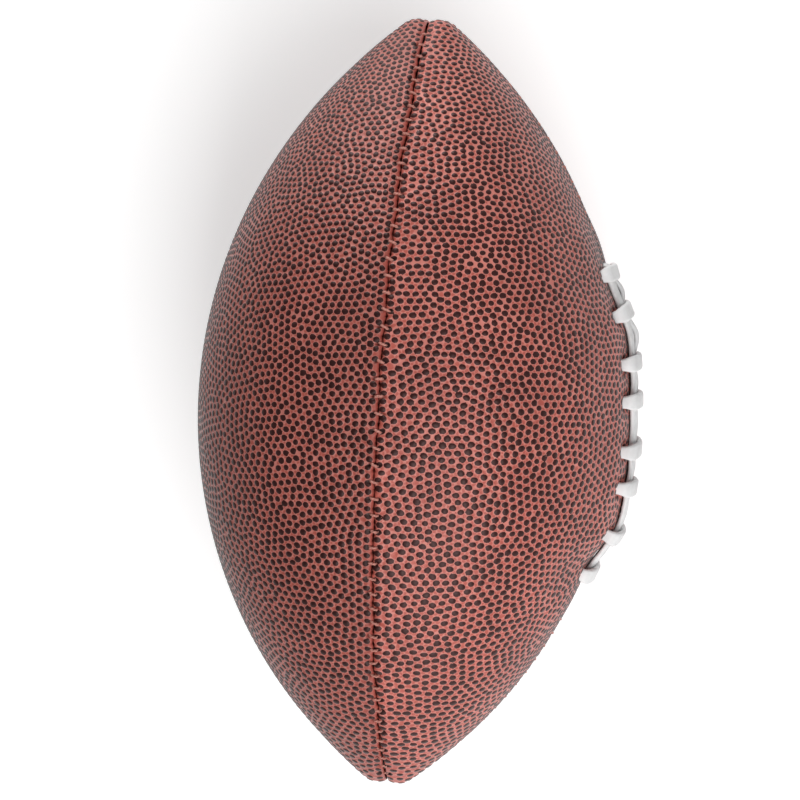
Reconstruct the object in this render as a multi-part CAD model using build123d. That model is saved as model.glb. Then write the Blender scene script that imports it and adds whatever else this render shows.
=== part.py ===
from build123d import *
import math
import os

# An american football on its side: long axis along Y, laces toward +X, lowest point at Z = 0.

# Whole ball
BALL_LENGTH = 264.0
CROWN_RADIUS = 74.7
LOBE_OFFSET = 6.0
TIP_RADIUS = 7.0

# Cover panels and the layers under them
COVER_T = 2.0
LINING_T = 1.4
BLADDER_T = 0.9
LAYER_GAP = 0.1
SEAM_GAP = 0.1
GROOVE_WIDTH = 1.7
GROOVE_DEPTH = 1.3
EDGE_ROLL = 1.1
TIP_RELIEF = 1.4

# Seam stitches
STITCH_PITCH = 5.6
STITCH_END = 9.0
THREAD_D = 0.8
THREAD_SIDES = 6

# Swelling of the two lace panels over the layers under the laces
BED_RISE = 3.4
BED_HALF_WIDTH = 48.75
BED_MARGIN = 7.2

# Lace
LACE_WIDTH = 5.4
LACE_T = 1.6
LACE_CENTRE_Y = -0.9
BAR_PAIRS = 4
BAR_PITCH = 13.3
PAIR_PITCH = 29.5
HOLE_HALF_SPAN = 11.4
BAR_BEND = 1.2
STRAND_GAP = 0.2
STRAND_LEAD = 0.6
RUN_OVERLAP = 0.4
SLOT_CLEAR = 0.15

# Strips behind the lace holes, and the tongue under the lace
FACING_T = 0.6
FACING_WIDTH = 16.0
FACING_MARGIN = 4.0
TONGUE_T = 0.8
TONGUE_WIDTH = 34.0
TONGUE_MARGIN = 6.0

# Inflation valve, at the middle of the lower back panel
VALVE_CORE_RADIUS = 3.0
VALVE_CORE_LENGTH = 17.0
VALVE_RECESS = 0.4
VALVE_CLEAR = 0.05
VALVE_HOLE_CLEAR = 0.4
VALVE_STEM_RADIUS = 5.5
VALVE_PATCH_RADIUS = 13.0
VALVE_PATCH_T = 1.2
NEEDLE_BORE_RADIUS = 1.1
NEEDLE_BORE_DEPTH = 11.0

# Each panel is part of a spindle whose own axis stands off the ball's axis
HALF_LENGTH = BALL_LENGTH / 2
LOBE_RADIUS = CROWN_RADIUS - LOBE_OFFSET
LOBE_SIDE = LOBE_OFFSET / math.sqrt(2)
TIP_CENTRE = HALF_LENGTH - TIP_RADIUS
MAIN_RADIUS = (TIP_CENTRE**2 + LOBE_RADIUS**2 - TIP_RADIUS**2) / (2 * (LOBE_RADIUS - TIP_RADIUS))
ARC_BACK = MAIN_RADIUS - LOBE_RADIUS
TANGENT_ANGLE = math.atan2(TIP_CENTRE, ARC_BACK)
REST_HEIGHT = LOBE_SIDE + LOBE_RADIUS

# Depths of the layers below the outer surface
LINING_DEPTH = COVER_T + LAYER_GAP
FLANGE_DEPTH = LINING_DEPTH + LINING_T
BLADDER_DEPTH = FLANGE_DEPTH + LAYER_GAP
FACING_DEPTH = FLANGE_DEPTH + LAYER_GAP
STRAND_BOTTOM = LAYER_GAP
STRAND_TOP = STRAND_BOTTOM + LACE_T
BAR_BOTTOM = STRAND_TOP + LAYER_GAP
BAR_TOP = BAR_BOTTOM + LACE_T


def bar_places():
    """Distance along the ball of each cross bar's middle."""
    places = []
    for pair in range(BAR_PAIRS):
        middle = LACE_CENTRE_Y + (pair - (BAR_PAIRS - 1) / 2) * PAIR_PITCH
        places += [middle - BAR_PITCH / 2, middle + BAR_PITCH / 2]
    return places


BARS = bar_places()
STRAND_REACH = LACE_WIDTH / 2 + STRAND_LEAD + LACE_T / 2
LACE_LOW = BARS[0] - STRAND_REACH
LACE_HIGH = BARS[-1] + STRAND_REACH

# The lace bed is a shorter, rounder spindle, set square to the lobe under the middle of the laces
BED_HALF_LENGTH = (LACE_HIGH - LACE_LOW) / 2 + BED_MARGIN
BED_SEAT = math.sqrt(MAIN_RADIUS**2 - BED_HALF_LENGTH**2)
BED_SAG = MAIN_RADIUS - BED_SEAT + BED_RISE
BED_ARC_RADIUS = (BED_HALF_LENGTH**2 + BED_SAG**2) / (2 * BED_SAG)
BED_DIP = LOBE_RADIUS - math.sqrt(LOBE_RADIUS**2 - BED_HALF_WIDTH**2) + BED_RISE
BED_RADIUS = (BED_HALF_WIDTH**2 + BED_DIP**2) / (2 * BED_DIP)
BED_ANGLE = math.asin(LACE_CENTRE_Y / MAIN_RADIUS)
BED_CENTRE_SHIFT = MAIN_RADIUS + BED_RISE - BED_ARC_RADIUS
BED_CENTRE_X = LOBE_SIDE - ARC_BACK + BED_CENTRE_SHIFT * math.cos(BED_ANGLE)
BED_CENTRE_Y = BED_CENTRE_SHIFT * math.sin(BED_ANGLE)
BED_LOW = BED_SEAT * math.sin(BED_ANGLE) - BED_HALF_LENGTH * math.cos(BED_ANGLE)
BED_HIGH = BED_SEAT * math.sin(BED_ANGLE) + BED_HALF_LENGTH * math.cos(BED_ANGLE)

# The flat inner runs of the lace pass under the curved facing
RUN_EDGE = HOLE_HALF_SPAN + LACE_WIDTH / 2 - LOBE_SIDE
RUN_ROOM = BED_RADIUS - BED_SAG - FACING_DEPTH - FACING_T
RUN_SAG = RUN_ROOM - math.sqrt(RUN_ROOM**2 - RUN_EDGE**2)
RUN_DEPTH = FACING_DEPTH + FACING_T + LAYER_GAP + RUN_SAG
TONGUE_DEPTH = RUN_DEPTH + LACE_T + LAYER_GAP
POCKET_DEPTH = TONGUE_DEPTH + TONGUE_T + LAYER_GAP


def lobe_radius(angle, depth):
    """Radius of a lobe about its own axis, at an angle on its long arc and a depth below the surface."""
    return (MAIN_RADIUS - depth) * math.cos(angle) - ARC_BACK


def bed_angle(y):
    """Angle on the lace bed's arc of the point at distance y along the ball."""
    return math.asin((y - BED_CENTRE_Y) / BED_ARC_RADIUS)


def spindle(depth):
    """Body of revolution of one lobe about the Y axis, a depth below the surface."""
    tip = TIP_RADIUS - depth
    half_turn = (TANGENT_ANGLE + math.pi / 2) / 2
    tip_mid = (tip * math.cos(half_turn), TIP_CENTRE + tip * math.sin(half_turn))
    tangent = (tip * math.cos(TANGENT_ANGLE), TIP_CENTRE + tip * math.sin(TANGENT_ANGLE))
    end = (0, TIP_CENTRE + tip)
    upper_tip = ThreePointArc(end, tip_mid, tangent)
    long_arc = ThreePointArc(tangent, (LOBE_RADIUS - depth, 0), (tangent[0], -tangent[1]))
    lower_tip = ThreePointArc((tangent[0], -tangent[1]), (tip_mid[0], -tip_mid[1]), (0, -end[1]))
    axis_line = Line((0, -end[1]), end)
    return revolve(make_face([upper_tip, long_arc, lower_tip, axis_line]), Axis.Y)


def back_lobe(depth):
    """Lobe of the upper back panel."""
    return Pos(-LOBE_SIDE, 0, LOBE_SIDE) * spindle(depth)


def lace_bed(depth):
    """Swelling of the upper lace panel, a depth below the surface."""
    back = BED_ARC_RADIUS - BED_RADIUS
    half = math.sqrt((BED_ARC_RADIUS - depth) ** 2 - back**2)
    arc = ThreePointArc((0, -half), (BED_RADIUS - depth, 0), (0, half))
    body = revolve(make_face([arc, Line((0, half), (0, -half))]), Axis.Y)
    axis_x = BED_CENTRE_X + back * math.cos(BED_ANGLE)
    axis_y = BED_CENTRE_Y + back * math.sin(BED_ANGLE)
    return Pos(axis_x, axis_y, LOBE_SIDE) * Rot(0, 0, math.degrees(BED_ANGLE)) * body


def front_lobe(depth):
    """Lobe of the upper lace panel."""
    return mirror(back_lobe(depth), Plane.YZ)


def lace_lobe(depth):
    """Lobe of the upper lace panel, with its swelling."""
    return front_lobe(depth) + lace_bed(depth)


def quarter(side, inset):
    """Upper quarter space on one X side, drawn in from both seam planes."""
    reach = BALL_LENGTH
    box = Box(reach, reach, reach, align=(Align.MIN, Align.CENTER, Align.MIN))
    box = Pos(inset, 0, inset) * box
    return box if side > 0 else mirror(box, Plane.YZ)


def seam_edges(body, side, inset):
    """Outer edges of a panel body along its two seam grooves."""
    edges = []
    for edge in body.edges():
        points = [edge @ share for share in (0, 0.5, 1)]
        on_x = all(abs(point.X - side * inset) < 1e-3 for point in points)
        on_z = all(abs(point.Z - inset) < 1e-3 for point in points)
        if (on_x or on_z) and edge.geom_type != GeomType.LINE:
            edges.append(edge)
    return edges


def rolled_skin(body, side):
    """Quarter of a body with its outer edges rolled down into the two seam grooves."""
    groove = GROOVE_WIDTH / 2
    bare_tip = math.sqrt(2) * (groove + EDGE_ROLL) + TIP_RELIEF
    relief = Cylinder(bare_tip, BALL_LENGTH, rotation=(90, 0, 0))
    skin = (body & quarter(side, groove)) - relief
    return fillet(seam_edges(skin, side, groove), EDGE_ROLL)


def cover_panel(lobe, skin, side):
    """Cover panel: rolled skin, a stitch groove at each seam and inward seam flanges."""
    core = lobe(GROOVE_DEPTH) & quarter(side, SEAM_GAP / 2)
    hollow = lobe(COVER_T) & quarter(side, SEAM_GAP / 2 + COVER_T)
    return (skin + core) - hollow - lobe(FLANGE_DEPTH)


def lining(lobe, side):
    """Cloth lining that fills a panel between its flanges."""
    filled = lobe(LINING_DEPTH) & quarter(side, SEAM_GAP / 2 + COVER_T + LAYER_GAP)
    return filled - lobe(FLANGE_DEPTH)


def lace_point(angle, height):
    """Point at a height over the crest of the lace bed."""
    radius = BED_ARC_RADIUS + height
    return (BED_CENTRE_X + radius * math.cos(angle), BED_CENTRE_Y + radius * math.sin(angle))


def lace_plane(y):
    """Plane across the laces: local X along +Z, local Y outward, local Z along the seam."""
    angle = bed_angle(y)
    x, y = lace_point(angle, 0)
    return Plane((x, y, 0), x_dir=(0, 0, 1), z_dir=(-math.sin(angle), math.cos(angle), 0))


def ribbon(low_y, high_y, bottom, top, near_z, far_z):
    """Flat strip that follows the lace bed from low_y to high_y."""
    low, high = bed_angle(low_y), bed_angle(high_y)
    middle = (low + high) / 2
    under = [lace_point(angle, bottom) for angle in (low, middle, high)]
    over = [lace_point(angle, top) for angle in (low, middle, high)]
    sides = [Line(under[0], over[0]), Line(under[2], over[2])]
    outline = make_face([ThreePointArc(*under), ThreePointArc(*over)] + sides)
    return extrude(Pos(0, 0, near_z) * outline, far_z - near_z)


def lace_bar(y):
    """Cross bar with its two legs, which go down through a pair of holes."""
    foot = -(RUN_DEPTH + LACE_T / 2)
    width = 2 * HOLE_HALF_SPAN + LACE_T
    outer = Pos(0, foot) * Rectangle(width, BAR_TOP - foot, align=(Align.CENTER, Align.MIN))
    outer = fillet(outer.vertices().group_by(Axis.Y)[-1], BAR_BEND + LACE_T)
    inner = Pos(0, foot) * Rectangle(width - 2 * LACE_T, BAR_BOTTOM - foot, align=(Align.CENTER, Align.MIN))
    inner = fillet(inner.vertices().group_by(Axis.Y)[-1], BAR_BEND)
    return lace_plane(y) * extrude(outer - inner, LACE_WIDTH / 2, both=True)


def lace():
    """The whole lace: out over each bar, along inside to the next, and back as two strands."""
    near, far = STRAND_GAP / 2, STRAND_GAP / 2 + LACE_WIDTH
    run_bottom, run_top = -(RUN_DEPTH + LACE_T), -RUN_DEPTH
    tail_end = -(FACING_DEPTH + FACING_T)
    run_middle = -(RUN_DEPTH + LACE_T / 2)
    reach = LACE_WIDTH / 2 + RUN_OVERLAP
    run_near, run_far = HOLE_HALF_SPAN - LACE_WIDTH / 2, HOLE_HALF_SPAN + LACE_WIDTH / 2
    pieces = [lace_bar(y) for y in BARS]
    for step in range(len(BARS) - 1):
        run = ribbon(BARS[step] - reach, BARS[step + 1] + reach, run_bottom, run_top, run_near, run_far)
        pieces.append(run if step % 2 == 0 else mirror(run, Plane.XY))
    for side in (1, -1):
        for end, y in ((-1, LACE_LOW), (1, LACE_HIGH)):
            depth = run_middle if end == side else tail_end
            leg = ribbon(y - LACE_T / 2, y + LACE_T / 2, depth, STRAND_TOP, near, far)
            pieces.append(leg if side > 0 else mirror(leg, Plane.XY))
        strand = ribbon(LACE_LOW, LACE_HIGH, STRAND_BOTTOM, STRAND_TOP, near, far)
        pieces.append(strand if side > 0 else mirror(strand, Plane.XY))
    pieces.append(ribbon(BARS[-1] - reach, LACE_HIGH + LACE_T / 2, run_bottom, run_top, -run_far, far))
    pieces.append(ribbon(LACE_LOW - LACE_T / 2, BARS[0] + reach, run_bottom, run_top, -far, -near))
    pieces.append(ribbon(BARS[0] - reach, BARS[0] + reach, run_bottom, run_top, -run_far, -near))
    return pieces[0].fuse(*pieces[1:])


def lace_slots():
    """Cutters for the upper half of the lace holes and of the strand ends."""
    deep = 2 * POCKET_DEPTH
    hole = Box(LACE_T + 2 * SLOT_CLEAR, deep, LACE_WIDTH + 2 * SLOT_CLEAR)
    slots = [lace_plane(y) * Pos(HOLE_HALF_SPAN, 0, 0) * hole for y in BARS]
    wide = STRAND_GAP / 2 + LACE_WIDTH + SLOT_CLEAR
    end_slot = Box(2 * wide, deep, LACE_T + 2 * SLOT_CLEAR)
    slots += [lace_plane(y) * end_slot for y in (LACE_LOW, LACE_HIGH)]
    return slots


def lace_zone(margin, half_width, base):
    """Box round the laces, from a seam-side plane Z = base outward."""
    length = LACE_HIGH - LACE_LOW + 2 * margin
    box = Box(CROWN_RADIUS, length, half_width - base, align=(Align.MIN, Align.CENTER, Align.MIN))
    return Pos(CROWN_RADIUS / 2, (LACE_LOW + LACE_HIGH) / 2, base) * box


def lace_facing():
    """Strip behind the upper row of lace holes."""
    strip = lace_zone(FACING_MARGIN, FACING_WIDTH, SEAM_GAP / 2) & lace_bed(FACING_DEPTH)
    return strip - lace_bed(FACING_DEPTH + FACING_T) - lace_slots()


def lace_tongue():
    """Pad under the inner lace runs, bridging the slit."""
    half = lace_zone(TONGUE_MARGIN, TONGUE_WIDTH / 2, 0) & lace_bed(TONGUE_DEPTH)
    half = half - lace_bed(TONGUE_DEPTH + TONGUE_T)
    return half + mirror(half, Plane.XY)


def bag(depth, wall):
    """Closed bag shape a depth below the surface, dented under the lace tongue."""
    back = back_lobe(depth) & quarter(-1, 0)
    front = front_lobe(depth) & quarter(1, 0)
    zone = lace_zone(TONGUE_MARGIN + LAYER_GAP + wall, TONGUE_WIDTH / 2 + LAYER_GAP + wall, 0)
    front = front - (zone - lace_bed(POCKET_DEPTH + wall))
    upper = back + front
    return upper + mirror(upper, Plane.XY)


VALVE = Plane((0, 0, 0), x_dir=(0, 1, 0), z_dir=(-1, 0, -1))
VALVE_FACE = CROWN_RADIUS - VALVE_RECESS
VALVE_INNER_END = VALVE_FACE - VALVE_CORE_LENGTH


def valve_rod(radius, low, high):
    """Round bar on the valve's axis between two distances from the ball's axis."""
    rod = Cylinder(radius, high - low, align=(Align.CENTER, Align.CENTER, Align.MIN))
    return VALVE * Pos(0, 0, low) * rod


def bladder():
    """Air-tight bag with a round hole for the valve."""
    wall = bag(BLADDER_DEPTH, 0) - bag(BLADDER_DEPTH + BLADDER_T, BLADDER_T)
    return wall - valve_rod(VALVE_STEM_RADIUS + VALVE_CLEAR, 0, CROWN_RADIUS)


def valve_patch():
    """Disc on the inside of the bladder, round the valve tube."""
    depth = BLADDER_DEPTH + BLADDER_T + VALVE_CLEAR
    layer = mirror(back_lobe(depth) - back_lobe(depth + VALVE_PATCH_T), Plane.XY)
    disc = layer & valve_rod(VALVE_PATCH_RADIUS, 0, CROWN_RADIUS)
    return disc - valve_rod(VALVE_STEM_RADIUS + VALVE_CLEAR, 0, CROWN_RADIUS)


def valve_body():
    """Rubber tube from under the cover into the bladder."""
    tube = valve_rod(VALVE_STEM_RADIUS, VALVE_INNER_END, CROWN_RADIUS)
    tube = tube & mirror(back_lobe(LINING_DEPTH), Plane.XY)
    return tube - valve_rod(VALVE_CORE_RADIUS + VALVE_CLEAR, 0, CROWN_RADIUS)


def valve_core():
    """Plug with the needle hole, just below the cover's surface."""
    plug = valve_rod(VALVE_CORE_RADIUS, VALVE_INNER_END, VALVE_FACE)
    return plug - valve_rod(NEEDLE_BORE_RADIUS, VALVE_FACE - NEEDLE_BORE_DEPTH, VALVE_FACE)


def seam_stitches(turn, lace_side=False):
    """Short thread bars across one seam's groove; turn is the seam's angle about the ball from +X."""
    depth = GROOVE_DEPTH - THREAD_D / 2 - LAYER_GAP
    length = GROOVE_WIDTH - 2 * LAYER_GAP
    bar = extrude(RegularPolygon(THREAD_D / 2, THREAD_SIDES), length / 2, both=True)
    step = STITCH_PITCH / MAIN_RADIUS
    count = int(math.asin((HALF_LENGTH - STITCH_END) / MAIN_RADIUS) / step)
    stitches = []
    for place in range(-count, count + 1):
        angle = place * step
        out = LOBE_SIDE + math.sqrt(lobe_radius(angle, depth) ** 2 - LOBE_SIDE**2)
        y = (MAIN_RADIUS - depth) * math.sin(angle)
        if not (lace_side and BED_LOW < y < BED_HIGH):
            across = Pos(out, y, 0) * Rot(0, 0, math.degrees(angle))
            stitches.append(Rot(0, -turn, 0) * across * bar)
    return Compound(children=stitches)


def build_parts():
    """Every sub-part in place, by node name, before the ball is lifted to rest at Z = 0."""
    parts = {}
    slots = lace_slots()
    back_skin = rolled_skin(back_lobe(0), -1)
    back_panel = cover_panel(back_lobe, back_skin, -1)
    lace_skin = mirror(back_skin, Plane.YZ) + rolled_skin(lace_bed(0), 1)
    lace_panel = cover_panel(lace_lobe, lace_skin, 1) - slots
    lace_lining = lining(lace_lobe, 1) - slots
    back_lining = lining(back_lobe, -1)
    facing = lace_facing()
    parts["upper_lace_panel"] = lace_panel
    parts["lower_lace_panel"] = mirror(lace_panel, Plane.XY)
    parts["upper_back_panel"] = back_panel
    valve_hole = valve_rod(VALVE_CORE_RADIUS + VALVE_HOLE_CLEAR, 0, BALL_LENGTH)
    parts["lower_back_panel"] = mirror(back_panel, Plane.XY) - valve_hole
    parts["upper_lace_lining"] = lace_lining
    parts["lower_lace_lining"] = mirror(lace_lining, Plane.XY)
    parts["upper_back_lining"] = back_lining
    stem_hole = valve_rod(VALVE_STEM_RADIUS + VALVE_CLEAR, 0, BALL_LENGTH)
    parts["lower_back_lining"] = mirror(back_lining, Plane.XY) - stem_hole
    parts["upper_lace_facing"] = facing
    parts["lower_lace_facing"] = mirror(facing, Plane.XY)
    parts["lace"] = lace()
    parts["lace_tongue"] = lace_tongue()
    parts["bladder"] = bladder()
    parts["valve_patch"] = valve_patch()
    parts["valve_body"] = valve_body()
    parts["valve_core"] = valve_core()
    parts["lace_seam_thread"] = seam_stitches(0, lace_side=True)
    parts["top_seam_thread"] = seam_stitches(90)
    parts["back_seam_thread"] = seam_stitches(180)
    parts["bottom_seam_thread"] = seam_stitches(270)
    return parts


os.makedirs("parts", exist_ok=True)
for name, shape in build_parts().items():
    export_step(Pos(0, 0, REST_HEIGHT) * shape, f"parts/{name}.step")
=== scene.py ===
import math

import bpy
import numpy as np
from mathutils import Matrix, Vector, kdtree
from mathutils.geometry import delaunay_2d_cdt


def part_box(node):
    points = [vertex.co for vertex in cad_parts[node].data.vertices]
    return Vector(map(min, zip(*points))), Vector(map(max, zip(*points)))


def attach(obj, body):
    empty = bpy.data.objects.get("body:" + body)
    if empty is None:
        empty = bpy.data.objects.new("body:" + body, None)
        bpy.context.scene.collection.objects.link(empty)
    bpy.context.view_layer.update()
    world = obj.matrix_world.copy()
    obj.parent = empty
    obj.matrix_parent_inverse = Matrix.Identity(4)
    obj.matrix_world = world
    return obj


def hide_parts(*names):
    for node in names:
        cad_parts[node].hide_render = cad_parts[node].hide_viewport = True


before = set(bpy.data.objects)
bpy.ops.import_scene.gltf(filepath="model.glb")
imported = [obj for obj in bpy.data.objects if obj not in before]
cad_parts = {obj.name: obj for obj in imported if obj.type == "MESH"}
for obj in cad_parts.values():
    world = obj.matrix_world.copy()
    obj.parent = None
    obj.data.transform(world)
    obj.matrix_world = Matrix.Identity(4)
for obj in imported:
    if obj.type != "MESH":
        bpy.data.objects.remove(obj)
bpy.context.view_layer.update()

# Sizes are in millimetres about the ball's centre: long axis along Y, laces toward +X, seams at X and Z
MM = 0.001
BACK_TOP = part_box("upper_back_panel")[1]
BACK_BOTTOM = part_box("lower_back_panel")[0]
CENTRE_Z = (BACK_TOP[2] + BACK_BOTTOM[2]) / 2
HALF_LENGTH = BACK_TOP[1] / MM

# Each panel is part of a spindle whose own axis stands off the ball's axis
LOBE_OFFSET = 6.0
TIP_RADIUS = 7.0
LOBE_SIDE = LOBE_OFFSET / math.sqrt(2)
LOBE_RADIUS = (BACK_TOP[2] - CENTRE_Z) / MM - LOBE_SIDE
CROWN_RADIUS = LOBE_RADIUS + LOBE_OFFSET
TIP_CENTRE = HALF_LENGTH - TIP_RADIUS
MAIN_RADIUS = (TIP_CENTRE**2 + LOBE_RADIUS**2 - TIP_RADIUS**2) / (2 * (LOBE_RADIUS - TIP_RADIUS))
ARC_BACK = MAIN_RADIUS - LOBE_RADIUS
TANGENT_ANGLE = math.atan2(TIP_CENTRE, ARC_BACK)
TIP_CORE = 0.6
QUARTER = math.pi / 4

# Search for the leather's surface along a line, and the step that finds its slope
HALVINGS = 30
SEARCH_FROM = 1.0
SEARCH_PAST = 8.0
SLOPE_STEP = 0.05

# Swelling of the leather under the laces: full between two places along the ball, more toward the lower end
SWELL_RISE = 3.3
SWELL_MORE = 1.7
SWELL_UPPER = (48.0, 30.0)
SWELL_LOWER = (-50.0, -35.5)
SWELL_SLOPE = (15.0, -35.0)
SWELL_WIDTH = 30.0

# Pebbles of the leather: pitch, and how much wider apart they are round the ball than along it
LACE_GRAIN = (2.92, 1.22)
BACK_GRAIN = (2.76, 1.05)
FOOT_SHARE = 0.425
TOP_SHARE = 0.315
PEBBLE_HEIGHT = 0.3
PEBBLE_SIDES = 9
PEBBLE_TREND = 0.0011
PEBBLE_OVAL = 0.05
PEBBLE_CORNERS = 0.03
SIZE_SPREAD = 0.05
SIZE_LIMITS = (0.85, 1.1)
FOOT_CLEAR = 1.12
HOLLOW_SIDE = 2.5
SEAM_CLEAR = 1.5
WIDE_CLEAR = 2.0
TIP_CLEAR = 7.0
CLEAR_LIMIT = 0.6

# Spreading of the pebbles: rows, scatter, and the pushes that even them out
ROW_SHARE = 0.866
SCATTER_SHARE = 0.6
PUSH_REACH = 1.15
PUSH_SHARE = 0.33
RELAX_STEPS = 30
RELAX_BAND = 400

# Each kind of point on the leather: share of a pebble's height, and place from valley colour to pebble colour
FOOT_LOOK = (0.15, 0.4)
TOP_LOOK = (0.85, 0.8)
CENTRE_LOOK = (1.0, 1.0)
EDGE_LOOK = (0.1, 0.1)
VALLEY_LOOK = (0.0, 0.0)

# Rolled seam edges, the groove between them and the stitches across it
SEAM_ROLL = 1.4
FULL_ROLL_RADIUS = 26.0
TIP_ROLL = 0.15
SEAM_ROWS = (0.0, 0.13, 0.26, 0.42, 0.64, 0.92, 1.24, 1.6, 2.0, 2.5)
SEAM_STEP = 0.66
SEAM_LINE_SHARE = 0.75
SEAM_TIP_RADIUS = 6.5
GROOVE_HALF = 0.26
GROOVE_LEAST = 0.08
GROOVE_EXTRA = 0.5
# Painted shade: share of a rolled edge's fall where the leather's colour begins to darken into the groove
GROOVE_SHADE = (0.5, 1.0)
PINCH_ALONG = 1.2
PINCH_SHARE = 0.6
STITCH_PITCH = 5.6
STITCH_END = 4.5
STITCH_HALF = 1.35
STITCH_VARIES = (0.95, 1.08)
STITCH_SLANT = (0.28, 0.16)
STITCH_SINK = 0.35
STITCH_BOW = 0.3
STITCH_DIVE = 1.1
STITCH_POINTS = 17
PLY_RADIUS = 0.30
PLY_OFFSET = 0.62
PLY_TURNS = 2.6
PLY_SIDES = 8
DIMPLE_REACH = 1.6
DIMPLE_DEPTH = 1.3
DIMPLE_ACROSS = 0.65
DIMPLE_ALONG = 0.75
LONGEST_EDGE = 2.4
JOIN_TOLERANCE = 1e-7

# Waves of the rolled edges and of the whole seam: size, turn per millimetre and, for the seam, start
EDGE_LONG_WAVE = (0.08, 0.9)
EDGE_SHORT_WAVE = (0.12, 2.9)
SWAY_WAVES = ((0.26, 0.19, 1.0), (0.18, 0.56, 0.0), (0.10, 1.35, 2.0))
SWAY_WIDTH = 5.0
SWAY_FROM = 8.0
SWAY_RAMP = 20.0

# The leather runs flat up to each seam, so that the seams stand as low ridges
RIDGE_WIDTH = 12.0
RIDGE_DROP = 1.0
RIDGE_FADE = (36.0, 52.0)
LACE_FADE = 16.0
LACE_ZONE_END = 4.0
LACE_ZONE_SIDE = 18.0
TIP_FILL = 1.2
TIP_FILL_RADIUS = 5.0

# Lace: the bars, the strands under them, and the leather round their holes
LACE_CENTRE_Y = -0.9
LACE_WIDTH = 5.6
STRAND_WIDTH = 5.0
STRAND_T = 1.6
LACE_T = 2.0
LACE_CORNER = (0.17, 0.42)
CORNER_STEPS = 4
LACE_SEED = 5
BAR_PAIRS = 4
BAR_PITCH = 13.3
PAIR_PITCH = 29.5
HOLE_HALF_SPAN = 11.4
BAR_HEIGHT = 2.1
BAR_BEND = 2.4
BAR_CROWN = 1.1
BAR_YAW = 0.035
BAR_SHIFT = 0.15
BEND_START = 0.98
LEG_POINTS = 6
BEND_POINTS = 10
TOP_POINTS = 7
LEG_DEPTH = 5.0
LEG_SHARE = 0.74
STRAND_HEIGHT = 1.0
STRAND_SIDE = 2.7
STRAND_REACH = 4.15
STRAND_SLACK = 0.4
SLACK_VARIES = 0.2
LOOSE_SLACK = 1.9
LOOSE_BAR = 4
STRAND_WANDER = (0.25, 0.21)
STRAND_ROLL = (0.10, 0.13)
STRAND_TILT = 0.12
STRAND_POINTS = 120
DIVE_DEPTH = 4.5
DIVE_LENGTH = 2.4
END_NARROWING = 0.25
END_LENGTH = 3.0
LACE_STIFFNESS = 3.0
CREST_FROM = 20.0
CREST_PAST = 12.0
CREST_STEP = 0.5
HOLE_DIP = 1.5
HOLE_DIP_LEAST = 0.2
HOLE_SPREAD = 3.3
HOLE_INSET = 0.4
# Painted shade round the lace holes and, through LACE_SHADE and LACE_DARK, on the leather beside and under
# the strands
HOLE_SHADE = (0.5, 1.0)
HOLE_DARK = 0.7
LACE_SHADE = (6.5, 4.5)
LACE_DARK = 0.8
BED_MARGIN = 7.2
BARS = []
for pair in range(BAR_PAIRS):
    middle = LACE_CENTRE_Y + (pair - (BAR_PAIRS - 1) / 2) * PAIR_PITCH
    BARS += [middle - BAR_PITCH / 2, middle + BAR_PITCH / 2]
LACE_LOW = BARS[0] - STRAND_REACH
LACE_HIGH = BARS[-1] + STRAND_REACH
BED_LOW = LACE_LOW - BED_MARGIN
BED_HIGH = LACE_HIGH + BED_MARGIN

# Valve in the lower back panel
VALVE_RINGS = (3.4, 3.7, 4.3, 5.2, 6.2)
VALVE_RING_SIDES = 40
VALVE_WALL = 1.9

# Colour sockets of a mix node, and how rough every noise is
MIX_SHARE = 0
MIX_FIRST = 6
MIX_SECOND = 7
MIX_RESULT = 2
NOISE_ROUGHNESS = 0.6

# Surroundings, in metres: the floor, its own glow and the glow all round
FLOOR_HALF = 8.0
FLOOR_TONE = 0.82
FLOOR_GLOW = 0.42
WORLD_GLOW = 0.11


def lobe_distance(points):
    """Distance of points from the plain surface of the panel in the quarter x > 0, z > 0."""
    out = np.hypot(points[:, 0] - LOBE_SIDE, points[:, 2] - LOBE_SIDE)
    along = np.abs(points[:, 1])
    long_arc = np.hypot(out + ARC_BACK, along) - MAIN_RADIUS
    tip_arc = np.hypot(out, along - TIP_CENTRE) - TIP_RADIUS
    on_tip = np.arctan2(along, out + ARC_BACK) > TANGENT_ANGLE
    return np.where(on_tip, tip_arc, long_arc)


def smooth(low, high, values):
    """Smooth step from 0 at low to 1 at high."""
    share = np.clip((values - low) / (high - low), 0, 1)
    return share**2 * (3 - 2 * share)


def swelling(points):
    """Rise of the leather over the layers under the laces."""
    y = points[:, 1]
    rise = SWELL_RISE + SWELL_MORE * smooth(*SWELL_SLOPE, y)
    rise = rise * smooth(*SWELL_UPPER, y) * smooth(*SWELL_LOWER, y)
    return rise * np.exp(-(points[:, 2] / SWELL_WIDTH) ** 2)


def seam_ridge(points):
    """How far the leather lies under the level of the seams, between them and the panel's middle."""
    across = np.abs(points[:, ::2])
    rise = np.clip(1 - across / RIDGE_WIDTH, 0, 1) ** 2
    tip = np.clip(np.hypot(across[:, 0], across[:, 1]) / FULL_ROLL_RADIUS, 0, 1)
    middle = smooth(*RIDGE_FADE, np.sqrt(across[:, 0] * across[:, 1]))
    return RIDGE_DROP * (1 - rise[:, 0]) * (1 - rise[:, 1]) * tip * (1 - middle)


def lace_zone(points):
    """1 beside the laces, falling to 0 away from them."""
    y = points[:, 1]
    upper = smooth(LACE_HIGH + LACE_ZONE_END + LACE_FADE, LACE_HIGH + LACE_ZONE_END, y)
    lower = smooth(LACE_LOW - LACE_ZONE_END - LACE_FADE, LACE_LOW - LACE_ZONE_END, y)
    return upper * lower * smooth(LACE_ZONE_SIDE + LACE_FADE, LACE_ZONE_SIDE, np.abs(points[:, 2]))


def tip_fill(points):
    """Rise of the leather on the ball's axis, which half fills the notch at each tip."""
    return TIP_FILL * np.exp(-(points[:, 0] ** 2 + points[:, 2] ** 2) / TIP_FILL_RADIUS**2)


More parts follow.
